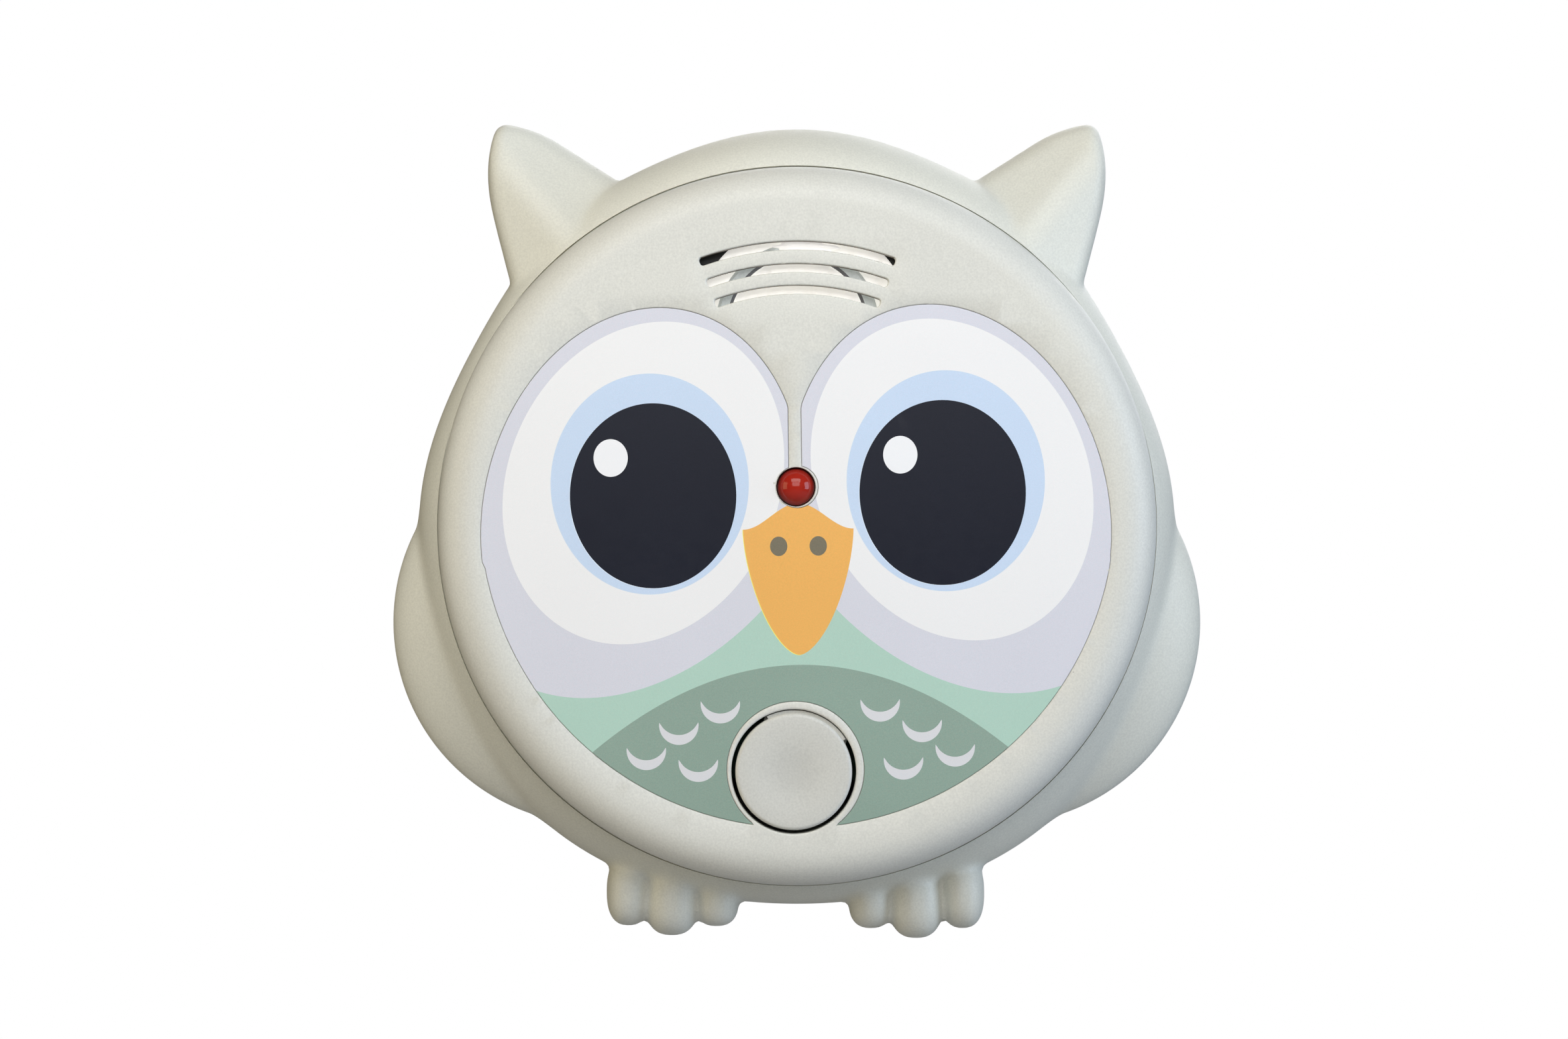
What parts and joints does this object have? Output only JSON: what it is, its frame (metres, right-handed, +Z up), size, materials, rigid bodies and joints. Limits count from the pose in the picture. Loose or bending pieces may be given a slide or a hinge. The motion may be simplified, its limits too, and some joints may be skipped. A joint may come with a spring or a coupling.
{
  "type": "carbon monoxide alarm",
  "caption": "Owl-shaped battery carbon monoxide alarm: round domed cover with sound slots, printed face, LED and test button, on a twist-off wall ring.",
  "frame": {"origin": "on the wall, where the axis of the round body meets it", "axes": "+Z up the wall, the face looks toward -Y, +Y points into the wall, +X to the right of someone facing the alarm"},
  "size_m": [0.1155, 0.039, 0.1166],
  "materials": {
    "ring_plastic": "fine matt moulded",
    "housing_plastic": "fine matt moulded, warm pale grey",
    "cover_plastic": "fine matt moulded, warm pale grey",
    "label_film": "printed film, satin",
    "button_plastic": "fine matt moulded, a little darker than the cover",
    "led_red": "clear red dome",
    "black_plastic": "moulded black",
    "board_green": "solder mask",
    "steel": "plated steel",
    "capacitor_sleeve": "shrink sleeve",
    "ferrite": "ferrite drum",
    "resistor_tan": "lacquered",
    "white_plastic": "filter cap",
    "chamber_plastic": "moulded black",
    "piezo_metal": "plated disc with fine scratches",
    "white_ceramic": "ceramic wafer",
    "pale_plastic": "milky grey",
    "wire_red": "soft insulation",
    "wire_black": "soft insulation",
    "cell_wrap": "plain printed-free wrap"
  },
  "bodies": {
    "wall_bracket": {"mounting_ring": "ring_plastic"},
    "alarm": {"back_housing": "housing_plastic", "front_cover": "cover_plastic", "face_label": "label_film", "status_led": "led_red", "led_spacer": "black_plastic", "circuit_board": "board_green", "board_screw_left": "steel", "board_screw_right": "steel", "microcontroller": "black_plastic", "crystal": "steel", "capacitor": "capacitor_sleeve", "inductor": "ferrite", "resistor_1": "resistor_tan", "resistor_2": "resistor_tan", "switch_body": "black_plastic", "gas_cell": "steel", "gas_cell_filter": "white_plastic", "sounder_chamber": "chamber_plastic", "piezo_disc": "piezo_metal", "piezo_wafer": "white_ceramic", "sounder_ring": "pale_plastic", "sounder_wire_red": "wire_red", "sounder_wire_black": "wire_black", "battery_1": "cell_wrap", "battery_2": "cell_wrap", "bridge_contact": "steel", "positive_contact": "steel", "negative_contact": "steel", "bridge_spring": "steel", "negative_spring": "steel", "cover_screw_lower_left": "steel", "cover_screw_upper_left": "steel", "cover_screw_lower_right": "steel", "cover_screw_upper_right": "steel"},
    "button": {"test_button": "button_plastic"},
    "plunger": {"switch_plunger": "black_plastic"},
    "door": {"battery_door": "housing_plastic"}
  },
  "joints": [
    {"name": "bayonet_twist", "type": "hinge", "parent": "wall_bracket", "child": "alarm", "pos_m": [0, 0, 0], "axis": [0, -1, 0], "range_deg": [0, 20]},
    {"name": "button_press", "type": "hinge", "parent": "alarm", "child": "button", "pos_m": [0.00474, -0.0348, -0.01554], "axis": [0.9613, 0, -0.2756], "range_deg": [0, 1.6], "stiffness_Nm_per_rad": 1.5},
    {"name": "plunger_travel", "type": "slide", "parent": "alarm", "child": "plunger", "axis": [0, 1, 0], "range_m": [0, 0.00027]},
    {"name": "battery_door_hinge", "type": "hinge", "parent": "alarm", "child": "door", "pos_m": [0, -0.0068, 0.015], "axis": [1, 0, 0], "range_deg": [0, 90]}
  ],
  "couplings": [
    {"joint": "plunger_travel", "follows": "button_press", "m_per_rad": 0.00895}
  ]
}
